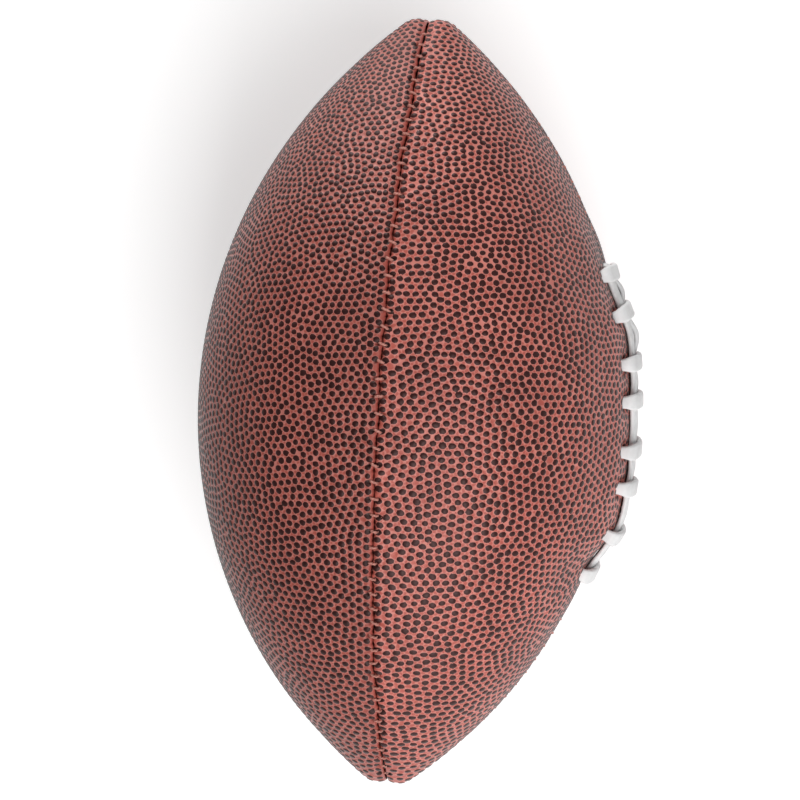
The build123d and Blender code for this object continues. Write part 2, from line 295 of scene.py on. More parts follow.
def skin_distance(points, bed):
    """Distance of points from a panel's surface, with the swelling if it is beside the laces."""
    distance = lobe_distance(points) - tip_fill(points)
    if bed:
        return distance - swelling(points) + seam_ridge(points) * (1 - lace_zone(points))
    return distance + seam_ridge(points)


def on_skin(points, bed):
    """Points moved along their line from the ball's centre onto the panel's surface."""
    direction = points / np.linalg.norm(points, axis=1)[:, None]
    near = np.full(len(points), SEARCH_FROM)
    far = np.full(len(points), HALF_LENGTH + SEARCH_PAST)
    for _ in range(HALVINGS):
        middle = (near + far) / 2
        outside = skin_distance(direction * middle[:, None], bed) > 0
        far = np.where(outside, middle, far)
        near = np.where(outside, near, middle)
    return direction * far[:, None]


def skin_normals(points, bed):
    """Outward unit vectors of a panel's surface."""
    slope = np.zeros_like(points)
    for axis in range(3):
        step = np.zeros(3)
        step[axis] = SLOPE_STEP
        slope[:, axis] = skin_distance(points + step, bed) - skin_distance(points - step, bed)
    return slope / np.linalg.norm(slope, axis=1)[:, None]


def crown_line():
    """Tables along a panel's crown: distance run, radius about the ball, latitude and unrolled height."""
    tip_end = math.acos((TIP_CORE - LOBE_OFFSET) / TIP_RADIUS)
    long_part = np.linspace(0, TANGENT_ANGLE, 900)
    tip_part = np.linspace(TANGENT_ANGLE, tip_end, 500)[1:]
    radius = np.concatenate((MAIN_RADIUS * np.cos(long_part) - ARC_BACK, TIP_RADIUS * np.cos(tip_part)))
    radius += LOBE_OFFSET
    y = np.concatenate((MAIN_RADIUS * np.sin(long_part), TIP_CENTRE + TIP_RADIUS * np.sin(tip_part)))
    step = np.hypot(np.diff(radius), np.diff(y))
    run = np.concatenate(([0], np.cumsum(step)))
    rise = np.concatenate(([0], np.cumsum(step / ((radius[1:] + radius[:-1]) / 2))))
    latitude = np.arctan2(y, radius)

    def both_ends(values, sign):
        return np.concatenate((sign * values[:0:-1], values))

    return both_ends(run, -1), both_ends(radius, 1), both_ends(latitude, -1), both_ends(rise, -1)


RUN, RUN_RADIUS, RUN_LATITUDE, RUN_RISE = crown_line()
RUN_END = RUN[-1]


def on_sphere(run, turn):
    """Directions from the ball's centre, by distance along the crown and turn from the panel's middle."""
    latitude = np.interp(run, RUN, RUN_LATITUDE)
    angle = QUARTER + turn
    flat = np.cos(latitude)
    return np.stack((flat * np.cos(angle), np.sin(latitude), flat * np.sin(angle)), axis=1)


def keep_off_seams(points, clear):
    """Points turned about the ball's axis until they are clear of the side seam and the crown seam."""
    radius = np.hypot(points[:, 0], points[:, 2])
    low = np.arcsin(np.minimum(clear[0] / radius, CLEAR_LIMIT)) - QUARTER
    high = QUARTER - np.arcsin(np.minimum(clear[1] / radius, CLEAR_LIMIT))
    turn = np.clip(np.arctan2(points[:, 2], points[:, 0]) - QUARTER, low, high)
    out = points.copy()
    out[:, 0] = radius * np.cos(QUARTER + turn)
    out[:, 2] = radius * np.sin(QUARTER + turn)
    return out


def pebble_size(y):
    """Size of the pebbles against their mean: smaller toward the upper tip."""
    return 1 - PEBBLE_TREND * y


def push_apart(points, reach):
    """One step that pushes points closer than reach apart, band by band along the ball."""
    order = np.argsort(points[:, 1])
    points = points[order]
    moved = points.copy()
    for start in range(0, len(points), RELAX_BAND):
        band = points[start:start + RELAX_BAND]
        room = reach * pebble_size(band[:, 1:2])
        low, high = np.searchsorted(points[:, 1], (band[0, 1] - room.max(), band[-1, 1] + room.max()))
        others = points[low:high]
        gap = (band**2).sum(1)[:, None] + (others**2).sum(1)[None, :] - 2 * band @ others.T
        gap = np.sqrt(np.maximum(gap, 1e-6))
        push = np.where(gap > 0.01, np.maximum(room - gap, 0) / gap * PUSH_SHARE, 0)
        moved[start:start + RELAX_BAND] += band * push.sum(1)[:, None] - push @ others
    return moved


def pebble_centres(rng, bed, grain, clear):
    """Centres of a panel's pebbles: scattered, then pushed apart until they are even."""
    pitch, stretch = grain
    spread = math.sqrt(stretch)
    squeeze = np.array((1 / spread, spread, 1 / spread))
    starts = []
    run = TIP_CLEAR - RUN_END
    while run < RUN_END - TIP_CLEAR:
        room = pitch * pebble_size(run)
        radius = np.interp(run, RUN, RUN_RADIUS)
        half = radius * QUARTER - SEAM_CLEAR
        starts += [(run, side / radius) for side in np.arange(-half, half, room * spread)]
        run += room * ROW_SHARE / spread
    starts = np.array(starts)
    points = on_skin(on_sphere(starts[:, 0], starts[:, 1]), bed)
    points = points + rng.normal(0, pitch * SCATTER_SHARE, points.shape)
    for _ in range(RELAX_STEPS):
        points = on_skin(keep_off_seams(points, clear), bed)
        points = push_apart(points * squeeze, pitch * PUSH_REACH) / squeeze
    return on_skin(keep_off_seams(points, clear), bed)


def hollows(centres, bed, pitch):
    """Points in the valleys between neighbouring pebbles."""
    faces = triangles(centres)
    faces = faces[longest_sides(centres, faces) < HOLLOW_SIDE * pitch]
    middles = on_skin(centres[faces].mean(1), bed)
    return middles[far_from(middles, centres, FOOT_SHARE * pitch * FOOT_CLEAR)]


def ring_points(centres, normals, radii, sides, bend=None, stretch=1.0):
    """Points on rings round centres, stretched round the ball; bend gives each ring an uneven outline."""
    wide = math.sqrt(stretch)
    first = np.cross(normals, (0.0, 1.0, 0.0))
    first /= np.linalg.norm(first, axis=1)[:, None]
    second = np.cross(normals, first)
    rings = []
    for side in range(sides):
        angle = 2 * math.pi * side / sides
        reach = radii
        if bend is not None:
            oval = PEBBLE_OVAL * np.cos(2 * angle + bend[:, 0])
            corners = PEBBLE_CORNERS * np.cos(3 * angle + bend[:, 1])
            reach = radii * (1 + oval + corners)
        direction = math.cos(angle) * first * wide + math.sin(angle) * second / wide
        rings.append(centres + reach[:, None] * direction)
    return np.concatenate(rings)


def stitch_count():
    """Number of stitches on each side of a seam's middle, and the angle from one to the next."""
    step = STITCH_PITCH / MAIN_RADIUS
    return int(math.asin((HALF_LENGTH - STITCH_END) / MAIN_RADIUS) / step), step


def seam_shape(points, seam_gap, laced):
    """Depth of the leather beside one seam, and the painted shade darkening its colour: rolled edge, groove
    and stitch dents.
    """
    y = points[:, 1]
    radius = np.hypot(points[:, 0], points[:, 2])
    roll = SEAM_ROLL * np.clip(radius / FULL_ROLL_RADIUS, TIP_ROLL, 1)
    count, step = stitch_count()
    place = np.arcsin(np.clip(y / MAIN_RADIUS, -1, 1)) / step
    off = (place - np.round(place)) * STITCH_PITCH
    stitched = np.abs(place) < count + 0.5
    if laced:
        stitched &= (y < BED_LOW) | (y > BED_HIGH)
    pinch = np.where(stitched, np.exp(-(off / PINCH_ALONG) ** 2), 0)
    long_size, long_rate = EDGE_LONG_WAVE
    short_size, short_rate = EDGE_SHORT_WAVE
    wander = long_size * np.sin(long_rate * y) + short_size * np.sin(short_rate * y + 1 + points[:, 0])
    half = np.maximum(GROOVE_HALF * (1 - PINCH_SHARE * pinch) + wander, GROOVE_LEAST) * roll / SEAM_ROLL
    inside = np.clip(roll - (seam_gap - half), 0, roll)
    fall = roll - np.sqrt(roll**2 - inside**2)
    reach = (seam_gap - DIMPLE_REACH) / DIMPLE_ACROSS
    dent = np.where(stitched, np.exp(-(off / DIMPLE_ALONG) ** 2 - reach**2), 0)
    depth = fall + np.where(seam_gap < half, GROOVE_EXTRA * roll / SEAM_ROLL, 0) + DIMPLE_DEPTH * dent
    # The second value is painted shade, darkest in the groove and in the stitch dents
    return depth, np.clip(smooth(*GROOVE_SHADE, fall / roll) + dent, 0, 1)


def sway(points):
    """Points with the sideways wander of the four seams, which fades out away from them and at the tips."""
    y = points[:, 1]
    wave = sum(size * np.sin(rate * y + start) for size, rate, start in SWAY_WAVES)
    wave = wave * np.clip((np.hypot(points[:, 0], points[:, 2]) - SWAY_FROM) / SWAY_RAMP, 0, 1)
    moved = points.copy()
    for axis in (0, 2):
        moved[:, axis] += wave * np.exp(-(points[:, axis] / SWAY_WIDTH) ** 2)
    return moved


def lace_dents(points, seam_gap):
    """Shape of the dips at the lace holes, from 0 to about 1."""
    dent = np.zeros(len(points))
    for y in BARS:
        across = (seam_gap - HOLE_HALF_SPAN + HOLE_INSET) / HOLE_SPREAD
        dent += np.exp(-across**2 - ((points[:, 1] - y) / HOLE_SPREAD) ** 2)
    return dent


def seam_rows(bed):
    """Rows of points along both seams of a panel, closer together toward the seam."""
    rows = []
    for index, gap in enumerate(SEAM_ROWS):
        run = np.arange(-RUN_END, RUN_END + 0.01, SEAM_STEP if gap else SEAM_STEP * SEAM_LINE_SHARE)
        run = np.clip(run + (index % 2) * SEAM_STEP / 2, -RUN_END, RUN_END)
        radius = np.interp(run, RUN, RUN_RADIUS)
        reach = gap * np.minimum(1, radius / SEAM_TIP_RADIUS)
        turn = QUARTER - np.arcsin(reach / radius)
        rows += [on_sphere(run, turn), on_sphere(run, -turn)]
    return on_skin(np.concatenate(rows), bed)


def far_from(points, centres, reach):
    """True for each point that is farther than reach from every centre."""
    tree = kdtree.KDTree(len(centres))
    for index, centre in enumerate(centres):
        tree.insert(centre, index)
    tree.balance()
    return np.array([tree.find(point)[2] for point in points]) > reach


def triangles(points):
    """Triangles over a panel's points, joined up in the panel's unrolled plane."""
    latitude = np.arcsin(points[:, 1] / np.linalg.norm(points, axis=1))
    rise = np.interp(latitude, RUN_LATITUDE, RUN_RISE)
    turn = np.arctan2(points[:, 2], points[:, 0]) - QUARTER
    flat = [Vector((a, b)) for a, b in zip(turn.tolist(), rise.tolist())]
    _, _, faces, source, _, _ = delaunay_2d_cdt(flat, [], [], 0, JOIN_TOLERANCE)
    first = [sources[0] for sources in source]
    return np.array([[first[corner] for corner in face] for face in faces])


def longest_sides(points, faces):
    """Length of each triangle's longest side."""
    corners = points[faces]
    return np.linalg.norm(corners - np.roll(corners, 1, axis=1), axis=2).max(1)


def panel(name, side_x, side_z, seed, grain, bed=False, valve=False, clear=(SEAM_CLEAR, SEAM_CLEAR)):
    """One cover panel: rolled seams, stitch dents and every pebble, made in one quarter and mirrored."""
    rng = np.random.default_rng(seed)
    pitch, stretch = grain
    centres = pebble_centres(rng, bed, grain, clear)
    valve_centre = on_skin(np.array([[1.0, 0.0, 1.0]]), bed)
    valve_axis = skin_normals(valve_centre, bed)
    if valve:
        away = np.linalg.norm(centres - valve_centre, axis=1)
        centres = centres[away > VALVE_RINGS[-1] + FOOT_SHARE * pitch]
    normals = skin_normals(centres, bed)
    varied = rng.normal(1.0, SIZE_SPREAD, len(centres)).clip(*SIZE_LIMITS)
    scale = pitch * pebble_size(centres[:, 1]) * varied
    bend = rng.uniform(0, 2 * math.pi, (len(centres), 2))
    foot = ring_points(centres, normals, FOOT_SHARE * scale, PEBBLE_SIDES, bend, stretch)
    top = ring_points(centres, normals, TOP_SHARE * scale, PEBBLE_SIDES, bend, stretch)
    edge = seam_rows(bed)
    edge = edge[far_from(edge, centres, FOOT_SHARE * pitch * FOOT_CLEAR)]
    valleys = hollows(centres, bed, pitch)
    groups = [
        (foot, FOOT_LOOK),
        (top, TOP_LOOK),
        (centres, CENTRE_LOOK),
        (edge, EDGE_LOOK),
        (valleys, VALLEY_LOOK),
    ]
    if valve:
        for ring in VALVE_RINGS:
            rim = ring_points(valve_centre, valve_axis, np.array([ring]), VALVE_RING_SIDES)
            groups.append((rim, EDGE_LOOK))
    base = on_skin(np.concatenate([points for points, _ in groups]), bed)
    lift = np.concatenate([np.full(len(points), look[0]) for points, look in groups])
    colour = np.concatenate([np.full(len(points), look[1]) for points, look in groups])
    # The seams' darkness is painted shade in the grooves and stitch dents
    side_depth, side_dark = seam_shape(base, base[:, 2], bed)
    crown_depth, crown_dark = seam_shape(base, base[:, 0], False)
    depth = side_depth + crown_depth + PEBBLE_HEIGHT * (1 - lift)
    dark = np.maximum(side_dark, crown_dark)
    if bed:
        dip = lace_dents(base, base[:, 2])
        depth += np.minimum(HOLE_DIP, HOLE_DIP_LEAST + swelling(base)) * dip
        beside = (base[:, 1] > LACE_LOW) & (base[:, 1] < LACE_HIGH)
        # Painted shade in the hole dips and under the lace strands
        dark = np.maximum(dark, HOLE_DARK * smooth(*HOLE_SHADE, dip))
        dark = np.maximum(dark, np.where(beside, LACE_DARK * smooth(*LACE_SHADE, base[:, 2]), 0))
    faces = triangles(base)
    faces = faces[longest_sides(base, faces) < LONGEST_EDGE].tolist()
    verts = base - skin_normals(base, bed) * depth[:, None]
    if valve:
        verts, faces = open_valve_hole(verts, faces, valve_axis[0])
        colour = np.concatenate((colour, np.zeros(VALVE_RING_SIDES)))
        # The valve hole's wall gets full painted shade
        dark = np.concatenate((dark, np.ones(VALVE_RING_SIDES)))
    verts = sway(verts * (side_x, 1, side_z))
    if side_x * side_z > 0:
        faces = [face[::-1] for face in faces]
    return mesh_piece(name, verts, faces, {"pebble": colour, "groove": dark})


def open_valve_hole(verts, faces, axis):
    """Opens the valve hole in a panel and adds the hole's wall."""
    first = len(verts) - len(VALVE_RINGS) * VALVE_RING_SIDES
    rim = range(first, first + VALVE_RING_SIDES)
    faces = [face for face in faces if not all(corner in rim for corner in face)]
    wall = verts[first:first + VALVE_RING_SIDES] - VALVE_WALL * axis
    start = len(verts)
    for side in range(VALVE_RING_SIDES):
        after = (side + 1) % VALVE_RING_SIDES
        faces.append([first + side, first + after, start + after, start + side])
    return np.concatenate((verts, wall)), faces


def mesh_piece(name, verts, faces, attributes=None):
    """Smooth mesh object from points in millimetres about the ball's centre."""
    mesh = bpy.data.meshes.new(name)
    placed = verts * MM + np.array((0, 0, CENTRE_Z))
    mesh.from_pydata(placed.tolist(), [], faces)
    for label, values in (attributes or {}).items():
        layer = mesh.attributes.new(label, "FLOAT", "POINT")
        layer.data.foreach_set("value", values.astype(np.float32))
    mesh.polygons.foreach_set("use_smooth", [True] * len(mesh.polygons))
    mesh.validate()
    piece = bpy.data.objects.new(name, mesh)
    bpy.context.collection.objects.link(piece)
    return piece


def finish_piece(piece, material, slot, *nodes):
    """Gives a piece its material and ties it to the ball."""
    piece.data.materials.append(material)
    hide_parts(*nodes)
    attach(piece, "root")


def rounded_section(corner):
    """Outline of a rounded strip of width 1 by thickness 1; corner is the rounding's share of each."""
    outline = []
    for turn, (u, v) in enumerate(((1, 1), (-1, 1), (-1, -1), (1, -1))):
        for step in range(CORNER_STEPS):
            angle = math.pi / 2 * (turn + step / (CORNER_STEPS - 1))
            outline.append((u * (0.5 - corner[0]) + corner[0] * math.cos(angle),
                            v * (0.5 - corner[1]) + corner[1] * math.sin(angle)))
    return np.array(outline)


def round_section(sides):
    """Outline of a circle 1 across."""
    angle = 2 * math.pi * np.arange(sides) / sides
    return np.stack((np.cos(angle), np.sin(angle)), axis=1) / 2


def sweep(path, across, outward, widths, heights, section):
    """Points and faces of a section carried along a path, closed at both ends."""
    count = len(section)
    verts = []
    for place, side, up, wide, high in zip(path, across, outward, widths, heights):
        verts.append(place + section[:, :1] * wide * side + section[:, 1:] * high * up)
    faces = []
    for ring in range(len(path) - 1):
        for corner in range(count):
            after = (corner + 1) % count
            faces.append([ring * count + corner, ring * count + after,
                          (ring + 1) * count + after, (ring + 1) * count + corner])
    faces.append(list(range(count))[::-1])
    faces.append([(len(path) - 1) * count + corner for corner in range(count)])
    return np.concatenate(verts), faces


def join(parts):
    """Several sets of points and faces as one."""
    verts = []
    faces = []
    start = 0
    for part_verts, part_faces in parts:
        verts.append(part_verts)
        faces += [[corner + start for corner in face] for face in part_faces]
        start += len(part_verts)
    return np.concatenate(verts), faces


def lace_line():
    """Crest of the leather under the lace, evened out: places along the ball and distances from its axis."""
    y = np.arange(LACE_LOW - CREST_PAST, LACE_HIGH + CREST_PAST, CREST_STEP)
    near = np.full(len(y), CREST_FROM)
    far = np.full(len(y), 2 * CROWN_RADIUS)
    for _ in range(HALVINGS):
        middle = (near + far) / 2
        outside = skin_distance(np.stack((middle, y, np.zeros(len(y))), axis=1), True) > 0
        far = np.where(outside, middle, far)
        near = np.where(outside, near, middle)
    reach = np.arange(-3 * LACE_STIFFNESS, 3 * LACE_STIFFNESS + 0.1, CREST_STEP)
    weight = np.exp(-0.5 * (reach / LACE_STIFFNESS) ** 2)
    padded = np.pad(far, len(reach) // 2, mode="reflect", reflect_type="odd")
    return y, np.convolve(padded, weight / weight.sum(), mode="valid")


LACE_Y, LACE_X = lace_line()
LACE_SLOPE = np.gradient(LACE_X, LACE_Y)


def lace_frame(y):
    """Point on the crest under the lace, with the outward and lengthwise directions there."""
    slope = np.interp(y, LACE_Y, LACE_SLOPE)
    size = math.hypot(1, slope)
    point = np.array((np.interp(y, LACE_Y, LACE_X), y, 0))
    return point, np.array((1 / size, -slope / size, 0)), np.array((slope / size, 1 / size, 0))


def bar(y, rng):
    """One cross bar: up out of its hole, over the strands and down into the hole opposite."""
    point, out, along = lace_frame(y)
    yaw = rng.normal(0, BAR_YAW)
    shift = rng.normal(0, BAR_SHIFT)
    line = []
    for depth in np.linspace(-LEG_DEPTH, BAR_HEIGHT - BAR_BEND, LEG_POINTS)[:-1]:
        line.append((-HOLE_HALF_SPAN, depth, LEG_SHARE))
    for angle in np.linspace(math.pi * BEND_START, math.pi / 2, BEND_POINTS):
        line.append((-HOLE_HALF_SPAN + BAR_BEND + BAR_BEND * math.cos(angle),
                     BAR_HEIGHT - BAR_BEND + BAR_BEND * math.sin(angle),
                     LEG_SHARE + (1 - LEG_SHARE) * math.sin(angle) ** 0.5))
    half = HOLE_HALF_SPAN - BAR_BEND
    for place in np.linspace(-half, 0, TOP_POINTS)[1:]:
        line.append((place, BAR_HEIGHT + BAR_CROWN * (1 - (place / half) ** 2), 1.0))
    line += [(-z, h, w) for z, h, w in line[-2::-1]]
    line = np.array(line)
    step = np.gradient(line[:, :2], axis=0)
    step /= np.linalg.norm(step, axis=1)[:, None]
    side = np.array((0, 0, 1.0))
    path = point + line[:, :1] * side + line[:, 1:2] * out + (shift + line[:, :1] * yaw) * along
    outward = -step[:, 1:2] * side + step[:, :1] * out
    across = np.repeat(-along[None, :], len(line), 0)
    section = rounded_section(LACE_CORNER)
    return sweep(path, across, outward, LACE_WIDTH * line[:, 2], np.full(len(line), LACE_T), section)


def strand_lift(y, side):
    """How far a strand bows up between the bars; the far one is slack near the upper end."""
    lift = 0.0
    for low, high in zip(BARS[:-1], BARS[1:]):
        if low < y < high:
            share = (y - low) / (high - low)
            slack = STRAND_SLACK + SLACK_VARIES * math.sin(3 * low + side)
            if side < 0 and low > BARS[LOOSE_BAR]:
                slack = LOOSE_SLACK
            lift = slack * math.sin(math.pi * share) ** 2
    return lift


def strand(side):
    """One long strand under the bars, turned down into the slit at both ends."""
    line = []
    for y in np.linspace(LACE_LOW, LACE_HIGH, STRAND_POINTS):
        end = min(y - LACE_LOW, LACE_HIGH - y)
        dive = DIVE_DEPTH * max(0, 1 - end / DIVE_LENGTH) ** 2
        wide = 1 - END_NARROWING * max(0, 1 - end / END_LENGTH)
        line.append((y, STRAND_HEIGHT + strand_lift(y, side) - dive, wide))
    path = []
    across = []
    outward = []
    widths = []
    for y, height, wide in line:
        point, out, _ = lace_frame(y)
        wander = STRAND_WANDER[0] * math.sin(y * STRAND_WANDER[1] + side)
        tilt = STRAND_ROLL[0] * math.sin(y * STRAND_ROLL[1] + 2 * side) + STRAND_TILT * side
        lateral = np.array((0, 0, 1.0)) * math.cos(tilt) + out * math.sin(-tilt)
        path.append(point + out * height + np.array((0, 0, side * STRAND_SIDE + wander)))
        across.append(lateral)
        outward.append(out * math.cos(tilt) + np.array((0, 0, 1.0)) * math.sin(tilt))
        widths.append(STRAND_WIDTH * wide)
    heights = np.full(len(path), STRAND_T)
    return sweep(np.array(path), across, outward, widths, heights, rounded_section(LACE_CORNER))


def lace():
    """The white lace as it shows: two strands and eight bars."""
    rng = np.random.default_rng(LACE_SEED)
    parts = [bar(y, rng) for y in BARS] + [strand(1), strand(-1)]
    verts, faces = join(parts)
    return mesh_piece("lace_cord", verts, faces)


def stitch(point, out, along, across, rng):
    """One stitch: two twisted plies from dent to dent across the seam."""
    share = np.linspace(-1, 1, STITCH_POINTS)
    half = STITCH_HALF * rng.uniform(*STITCH_VARIES)
    slant = rng.normal(*STITCH_SLANT)
    height = -STITCH_SINK - STITCH_BOW * share**2 - STITCH_DIVE * share**6
    place = share * half
    middle = point + np.outer(place, across) + np.outer(height, out) + np.outer(place * slant, along)
    start = rng.uniform(0, 2 * math.pi)
    plies = []
    for ply in (0, math.pi):
        turn = share * math.pi * PLY_TURNS / 2 + ply + start
        offset = PLY_OFFSET * PLY_RADIUS * (np.outer(np.cos(turn), along) + np.outer(np.sin(turn), out))
        line = middle + offset
        step = np.gradient(line, axis=0)
        step /= np.linalg.norm(step, axis=1)[:, None]
        side = np.cross(out, step)
        side /= np.linalg.norm(side, axis=1)[:, None]
        up = np.cross(step, side)
        size = np.full(len(share), 2 * PLY_RADIUS)
        plies.append(sweep(line, side, up, size, size, round_section(PLY_SIDES)))
    return plies


def seam_thread(name, turn, seed, laced=False):
    """All stitches of one seam; turn is the seam's angle about the ball from +X."""
    rng = np.random.default_rng(seed)
    count, step = stitch_count()
    radial = np.array((math.cos(turn), 0, math.sin(turn)))
    across = np.array((-math.sin(turn), 0, math.cos(turn)))
    parts = []
    for place in range(-count, count + 1):
        angle = place * step
        radius = math.sqrt((MAIN_RADIUS * math.cos(angle) - ARC_BACK) ** 2 - LOBE_SIDE**2) + LOBE_SIDE
        y = MAIN_RADIUS * math.sin(angle)
        if laced and BED_LOW < y < BED_HIGH:
            continue
        out = radial * math.cos(angle) + np.array((0, math.sin(angle), 0))
        along = np.array((0, math.cos(angle), 0)) - radial * math.sin(angle)
        parts += stitch(radial * radius + np.array((0, y, 0)), out, along, across, rng)
    verts, faces = join(parts)
    return mesh_piece(name, sway(verts), faces)


def new_material(name, roughness):
    """New material of a given roughness, with its node tree and its shader."""
    material = bpy.data.materials.new(name)
    material.use_nodes = True
    shader = material.node_tree.nodes["Principled BSDF"]
    shader.inputs["Roughness"].default_value = roughness
    return material, material.node_tree, shader


def add_noise(tree, scale, detail):
    """Noise over the object's own coordinates, in cells per metre."""
    place = tree.nodes.new("ShaderNodeTexCoord")
    noise = tree.nodes.new("ShaderNodeTexNoise")
    noise.inputs["Scale"].default_value = scale
    noise.inputs["Detail"].default_value = detail
    noise.inputs["Roughness"].default_value = NOISE_ROUGHNESS
    tree.links.new(place.outputs["Object"], noise.inputs["Vector"])
    return noise


def add_ramp(tree, value, stops):
    """Colour ramp over a value, from (position, colour) stops."""
    ramp = tree.nodes.new("ShaderNodeValToRGB")
    while len(ramp.color_ramp.elements) < len(stops):
        ramp.color_ramp.elements.new(0.5)
    for element, (position, colour) in zip(ramp.color_ramp.elements, stops):
        element.position = position
        element.color = (*colour, 1)
    tree.links.new(value, ramp.inputs["Fac"])
    return ramp.outputs["Color"]


def add_product(tree, first, second):
    """Two colours multiplied."""
    mix = tree.nodes.new("ShaderNodeMix")
    mix.data_type = "RGBA"
    mix.blend_type = "MULTIPLY"
    mix.inputs[MIX_SHARE].default_value = 1.0
    tree.links.new(first, mix.inputs[MIX_FIRST])
    tree.links.new(second, mix.inputs[MIX_SECOND])
    return mix.outputs[MIX_RESULT]


def add_bump(tree, shader, height, distance):
    """Fine relief on a shader."""
    bump = tree.nodes.new("ShaderNodeBump")
    bump.inputs["Distance"].default_value = distance
    bump.inputs["Strength"].default_value = 1.0
    tree.links.new(height, bump.inputs["Height"])
    tree.links.new(bump.outputs["Normal"], shader.inputs["Normal"])


def cover_leather(name, tone):
    """Red-brown leather with darkened pebble tops, and painted shade from the groove attribute; tone scales
    its lightness, so a darker copy stands in as painted shade.
    """
    material, tree, shader = new_material(name, 0.31)
    shader.inputs["Specular Tint"].default_value = (1.0, 0.75, 0.72, 1)
    pebble = tree.nodes.new("ShaderNodeAttribute")
    pebble.attribute_name = "pebble"
    dots = add_ramp(tree, pebble.outputs["Fac"], (
        (0.0, (0.52, 0.118, 0.090)),
        (0.32, (0.54, 0.130, 0.100)),
        (0.45, (0.78, 0.300, 0.250)),
        (0.58, (0.13, 0.032, 0.026)),
        (0.68, (0.034, 0.009, 0.008)),
        # Pebble centres a little lighter than their rims: a faint painted highlight
        (1.0, (0.044, 0.015, 0.014)),
    ))
    shine = add_ramp(tree, pebble.outputs["Fac"], (
        (0.5, (0.40, 0.40, 0.40)),
        (0.65, (0.30, 0.30, 0.30)),
    ))
    tree.links.new(shine, shader.inputs["Specular IOR Level"])
    patches = add_noise(tree, 45, 4)
    tint = add_ramp(tree, patches.outputs["Fac"], (
        (0.3, (0.80 * tone, 0.78 * tone, 0.78 * tone)),
        (0.7, (tone, tone, tone)),
    ))
    colour = add_product(tree, dots, tint)
    # The groove attribute carries painted shade, multiplied into the leather's colour
    groove = tree.nodes.new("ShaderNodeAttribute")
    groove.attribute_name = "groove"
    shade = ((0.1, (1, 1, 1)), (0.6, (0.45, 0.33, 0.32)), (1.0, (0.10, 0.06, 0.06)))
    painted_shade_colour = add_ramp(tree, groove.outputs["Fac"], shade)
    colour = add_product(tree, colour, painted_shade_colour)
    tree.links.new(colour, shader.inputs["Base Color"])
    grain = add_noise(tree, 2600, 5)
    add_bump(tree, shader, grain.outputs["Fac"], 0.00012)
    return material


def thread():
    """Waxed thread, pinkish tan."""
    material, tree, shader = new_material("seam_thread", 0.6)
    fibre = add_noise(tree, 3000, 3)
    colour = add_ramp(tree, fibre.outputs["Fac"], ((0.3, (0.38, 0.13, 0.10)), (0.7, (0.70, 0.32, 0.26))))
    tree.links.new(colour, shader.inputs["Base Color"])
    add_bump(tree, shader, fibre.outputs["Fac"], 0.0001)
    return material


def lace_vinyl():
    """Soft white vinyl, faintly soiled."""
    material, tree, shader = new_material("lace_vinyl", 0.48)
    soil = add_noise(tree, 160, 5)
    colour = add_ramp(tree, soil.outputs["Fac"], ((0.3, (0.75, 0.74, 0.74)), (0.6, (0.87, 0.87, 0.87))))
    tree.links.new(colour, shader.inputs["Base Color"])
    grain = add_noise(tree, 1800, 4)
    add_bump(tree, shader, grain.outputs["Fac"], 0.00006)
    return material


def plain_material(name, dark, light, scale, roughness):
    """Cloth, backing leather or rubber, mottled between two colours."""
    material, tree, shader = new_material(name, roughness)
    mottle = add_noise(tree, scale, 5)
    colour = add_ramp(tree, mottle.outputs["Fac"], ((0.3, dark), (0.7, light)))
    tree.links.new(colour, shader.inputs["Base Color"])
    add_bump(tree, shader, mottle.outputs["Fac"], 0.00008)
    return material


def paint(material, *nodes):
    """Puts a material on parts that are shown as they are."""
    for node in nodes:
        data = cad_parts[node].data
        data.materials.clear()
        data.materials.append(material)


# The back panels' copy is darker by its tone: painted shade for the side turned away from the lamps
LACE_LEATHER = cover_leather("lace_side_leather", 1.0)
BACK_LEATHER_SHADED = cover_leather("back_side_leather_shaded", 0.79)
COVERS = {
    "upper_lace_panel": panel("cover_upper_lace", 1, 1, 11, LACE_GRAIN, bed=True),
    "upper_back_panel": panel("cover_upper_back", -1, 1, 12, BACK_GRAIN, clear=(SEAM_CLEAR, WIDE_CLEAR)),
    "lower_lace_panel": panel("cover_lower_lace", 1, -1, 13, LACE_GRAIN, bed=True),
    "lower_back_panel": panel("cover_lower_back", -1, -1, 14, BACK_GRAIN, valve=True),
}
for node, piece in COVERS.items():
    finish_piece(piece, LACE_LEATHER if "lace" in node else BACK_LEATHER_SHADED, "cover_leather", node)

THREAD = thread()
THREADS = {
    "lace_seam_thread": seam_thread("thread_lace_seam", 0, 21, laced=True),
    "top_seam_thread": seam_thread("thread_top_seam", math.pi / 2, 22),
    "back_seam_thread": seam_thread("thread_back_seam", math.pi, 23),
    "bottom_seam_thread": seam_thread("thread_bottom_seam", -math.pi / 2, 24),
}
for node, piece in THREADS.items():
    finish_piece(piece, THREAD, "seam_thread", node)

finish_piece(lace(), lace_vinyl(), "lace_vinyl", "lace")

CLOTH = plain_material("lining_cloth", (0.42, 0.39, 0.33), (0.58, 0.55, 0.48), 900, 0.9)
paint(CLOTH, "upper_lace_lining", "upper_back_lining", "lower_lace_lining", "lower_back_lining")
BACKING = plain_material("backing_leather", (0.10, 0.06, 0.045), (0.17, 0.11, 0.08), 700, 0.9)
paint(BACKING, "upper_lace_facing", "lower_lace_facing", "lace_tongue")
RUBBER = plain_material("bladder_rubber", (0.010, 0.010, 0.011), (0.018, 0.018, 0.019), 300, 0.6)
paint(RUBBER, "bladder", "valve_patch", "valve_body")
paint(plain_material("valve_rubber", (0.014, 0.012, 0.012), (0.030, 0.027, 0.026), 900, 0.55), "valve_core")


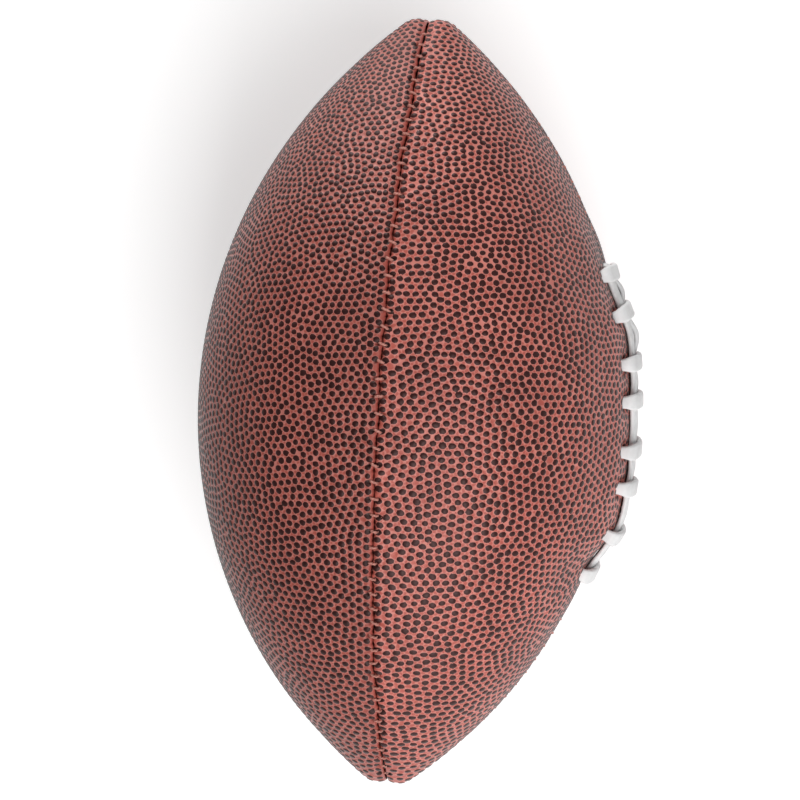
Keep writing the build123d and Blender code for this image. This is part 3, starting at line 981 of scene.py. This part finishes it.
def camera():
    """Camera over the ball, a little toward its upper tip, as in the photo."""
    distance = 1.0
    tilt = math.radians(7)
    lean = math.radians(3.1)
    roll = math.radians(-8)

    def to_part(x, y, z):
        return Vector((x * math.cos(roll) - z * math.sin(roll), y, x * math.sin(roll) + z * math.cos(roll)))

    right = to_part(math.cos(lean), math.cos(tilt) * math.sin(lean), -math.sin(tilt) * math.sin(lean))
    up = to_part(-math.sin(lean), math.cos(tilt) * math.cos(lean), -math.sin(tilt) * math.cos(lean))
    back = to_part(0, math.sin(tilt), math.cos(tilt))
    data = bpy.data.cameras.new("camera")
    data.sensor_width = 36
    data.lens = 130.5
    data.shift_x = -0.0118
    data.shift_y = 0.007
    viewer = bpy.data.objects.new("camera", data)
    place = Vector((0, 0, CENTRE_Z)) + back * distance
    viewer.matrix_world = Matrix.Translation(place) @ Matrix((right, up, back)).transposed().to_4x4()
    bpy.context.collection.objects.link(viewer)
    bpy.context.scene.camera = viewer


def lamp(name, place, width, length, power):
    """Soft box of light turned toward the ball, its length along the ball's."""
    data = bpy.data.lights.new(name, "AREA")
    data.shape = "RECTANGLE"
    data.size = width
    data.size_y = length
    data.energy = power
    light = bpy.data.objects.new(name, data)
    back = (Vector(place) - Vector((0, 0, CENTRE_Z))).normalized()
    side = Vector((0, 1, 0)).cross(back).normalized()
    turn = Matrix((side, back.cross(side), back)).transposed().to_4x4()
    light.matrix_world = Matrix.Translation(place) @ turn
    bpy.context.collection.objects.link(light)


def floor():
    """Plain pale floor under the ball."""
    half = FLOOR_HALF
    corners = [(-half, -half, 0), (half, -half, 0), (half, half, 0), (-half, half, 0)]
    mesh = bpy.data.meshes.new("floor")
    mesh.from_pydata(corners, [], [(0, 1, 2, 3)])
    piece = bpy.data.objects.new("floor", mesh)
    bpy.context.collection.objects.link(piece)
    material, tree, shader = new_material("floor_paper", 0.9)
    shader.inputs["Base Color"].default_value = (FLOOR_TONE, FLOOR_TONE, FLOOR_TONE, 1)
    shader.inputs["Specular IOR Level"].default_value = 0.0
    shader.inputs["Emission Color"].default_value = (1, 1, 1, 1)
    path = tree.nodes.new("ShaderNodeLightPath")
    seen = path.outputs["Is Camera Ray"]
    for other in ("Is Glossy Ray", "Is Transmission Ray"):
        either = tree.nodes.new("ShaderNodeMath")
        either.operation = "MAXIMUM"
        tree.links.new(seen, either.inputs[0])
        tree.links.new(path.outputs[other], either.inputs[1])
        seen = either.outputs[0]
    share = tree.nodes.new("ShaderNodeMath")
    share.operation = "MULTIPLY"
    share.inputs[1].default_value = FLOOR_GLOW
    tree.links.new(seen, share.inputs[0])
    tree.links.new(share.outputs[0], shader.inputs["Emission Strength"])
    mesh.materials.append(material)


def studio():
    """Soft light from the lower right and from the upper end, over an even glow."""
    scene = bpy.context.scene
    scene.view_settings.view_transform = "Standard"
    world = bpy.data.worlds.new("studio")
    world.use_nodes = True
    glow = world.node_tree.nodes["Background"]
    glow.inputs["Color"].default_value = (1, 1, 1, 1)
    glow.inputs["Strength"].default_value = WORLD_GLOW
    scene.world = world
    lamp("wide", (0.38, -0.58, 1.00), 0.6, 1.8, 16.0)
    lamp("upper", (-0.32, 1.05, 0.33), 0.5, 0.5, 8.3)


camera()
floor()
studio()
